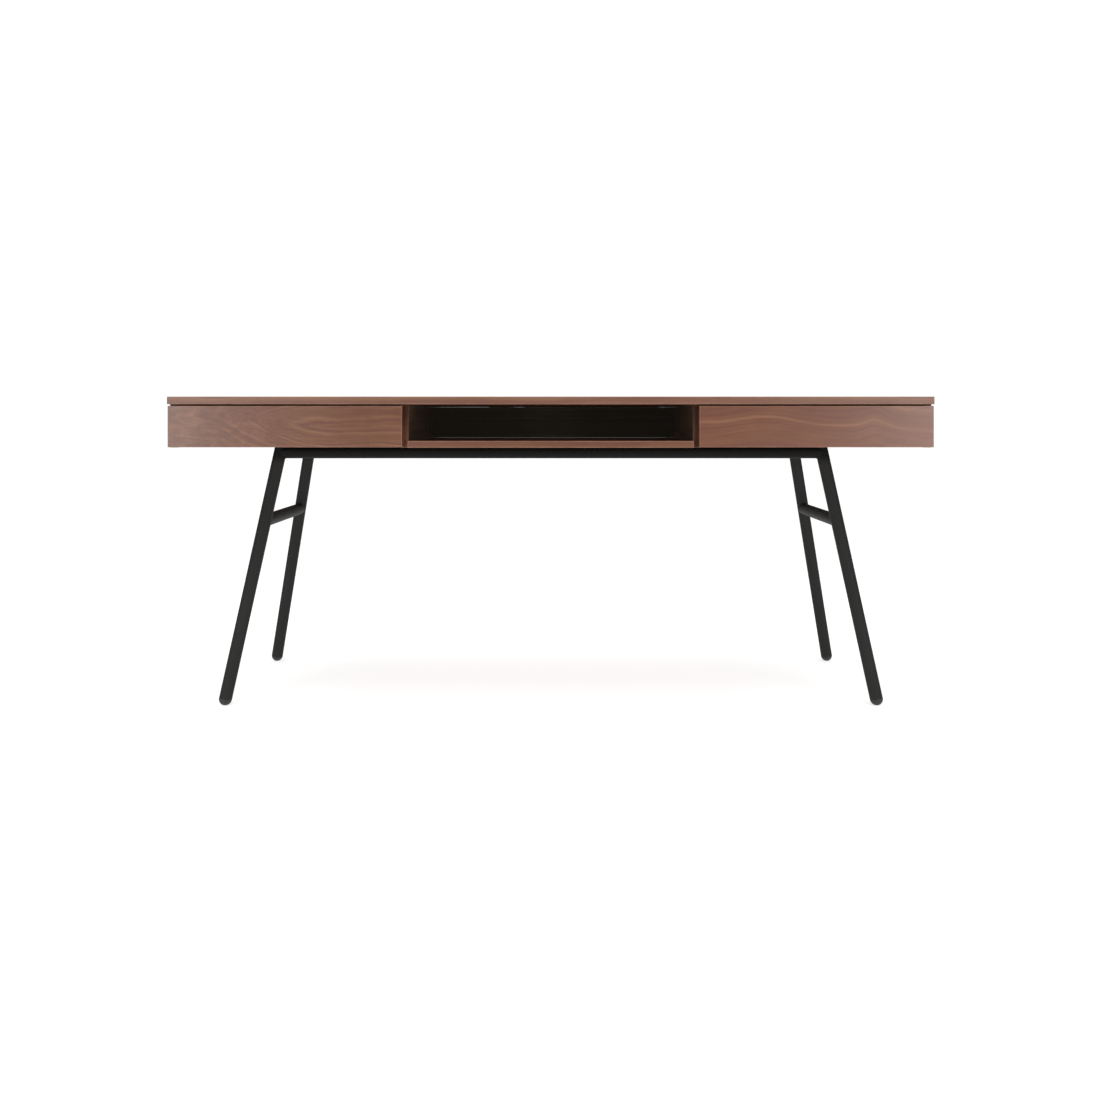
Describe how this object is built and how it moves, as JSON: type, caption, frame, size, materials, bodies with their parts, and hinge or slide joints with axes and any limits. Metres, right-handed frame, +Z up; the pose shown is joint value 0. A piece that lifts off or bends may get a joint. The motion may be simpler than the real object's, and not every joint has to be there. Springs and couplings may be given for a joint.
{
  "type": "writing desk",
  "caption": "Wide low-cased writing desk: thin top, handleless drawers either side of an open compartment, splayed round-tube steel frame.",
  "frame": {"origin": "on the floor, under the middle of the desktop", "axes": "+X to the right of someone seated at the desk, +Y away from them, +Z up"},
  "size_m": [1.8, 0.7, 0.75],
  "materials": {
    "walnut_veneer": "satin lacquered walnut veneer",
    "drawer_box_birch": "satin lacquered birch plywood",
    "beech": "plain beech",
    "black_powder_coat": "fine matt black powder coat",
    "foot_plastic": "matt moulded",
    "zinc_steel": "bright zinc plate",
    "clear_rubber": "soft translucent"
  },
  "bodies": {
    "desk": {"back_cleat": "drawer_box_birch", "case_dowels": "beech", "case_rail_screws": "zinc_steel", "compartment_back": "walnut_veneer", "compartment_shelf": "walnut_veneer", "desktop": "walnut_veneer", "drawer_bumpers": "clear_rubber", "frame_screws": "zinc_steel", "front_rail": "black_powder_coat", "left_bay_bottom": "walnut_veneer", "left_crossbar": "black_powder_coat", "left_divider": "walnut_veneer", "left_end_panel": "walnut_veneer", "left_front_foot": "foot_plastic", "left_front_leg": "black_powder_coat", "left_inner_slide_case_rail": "zinc_steel", "left_outer_slide_case_rail": "zinc_steel", "left_rear_foot": "foot_plastic", "left_rear_leg": "black_powder_coat", "left_rear_panel": "walnut_veneer", "mounting_bars": "black_powder_coat", "rear_rail": "black_powder_coat", "right_bay_bottom": "walnut_veneer", "right_crossbar": "black_powder_coat", "right_divider": "walnut_veneer", "right_end_panel": "walnut_veneer", "right_front_foot": "foot_plastic", "right_front_leg": "black_powder_coat", "right_inner_slide_case_rail": "zinc_steel", "right_outer_slide_case_rail": "zinc_steel", "right_rear_foot": "foot_plastic", "right_rear_leg": "black_powder_coat", "right_rear_panel": "walnut_veneer"},
    "left_drawer": {"left_drawer_bottom": "drawer_box_birch", "left_drawer_box_back": "drawer_box_birch", "left_drawer_box_front": "drawer_box_birch", "left_drawer_front": "walnut_veneer", "left_drawer_front_screws": "zinc_steel", "left_drawer_side_inner": "drawer_box_birch", "left_drawer_side_outer": "drawer_box_birch", "left_drawer_slide_screws": "zinc_steel", "left_inner_slide_drawer_rail": "zinc_steel", "left_outer_slide_drawer_rail": "zinc_steel"},
    "right_drawer": {"right_drawer_bottom": "drawer_box_birch", "right_drawer_box_back": "drawer_box_birch", "right_drawer_box_front": "drawer_box_birch", "right_drawer_front": "walnut_veneer", "right_drawer_front_screws": "zinc_steel", "right_drawer_side_inner": "drawer_box_birch", "right_drawer_side_outer": "drawer_box_birch", "right_drawer_slide_screws": "zinc_steel", "right_inner_slide_drawer_rail": "zinc_steel", "right_outer_slide_drawer_rail": "zinc_steel"},
    "left_mid_rails": {"left_inner_slide_mid_rail": "zinc_steel", "left_outer_slide_mid_rail": "zinc_steel"},
    "right_mid_rails": {"right_inner_slide_mid_rail": "zinc_steel", "right_outer_slide_mid_rail": "zinc_steel"}
  },
  "joints": [
    {"name": "left_drawer_slide", "type": "slide", "parent": "desk", "child": "left_drawer", "axis": [0, -1, 0], "range_m": [0, 0.44]},
    {"name": "left_mid_rails_slide", "type": "slide", "parent": "desk", "child": "left_mid_rails", "axis": [0, -1, 0], "range_m": [0, 0.22]},
    {"name": "right_drawer_slide", "type": "slide", "parent": "desk", "child": "right_drawer", "axis": [0, -1, 0], "range_m": [0, 0.44]},
    {"name": "right_mid_rails_slide", "type": "slide", "parent": "desk", "child": "right_mid_rails", "axis": [0, -1, 0], "range_m": [0, 0.22]}
  ],
  "couplings": [
    {"joint": "left_mid_rails_slide", "follows": "left_drawer_slide", "ratio": 0.5},
    {"joint": "right_mid_rails_slide", "follows": "right_drawer_slide", "ratio": 0.5}
  ]
}
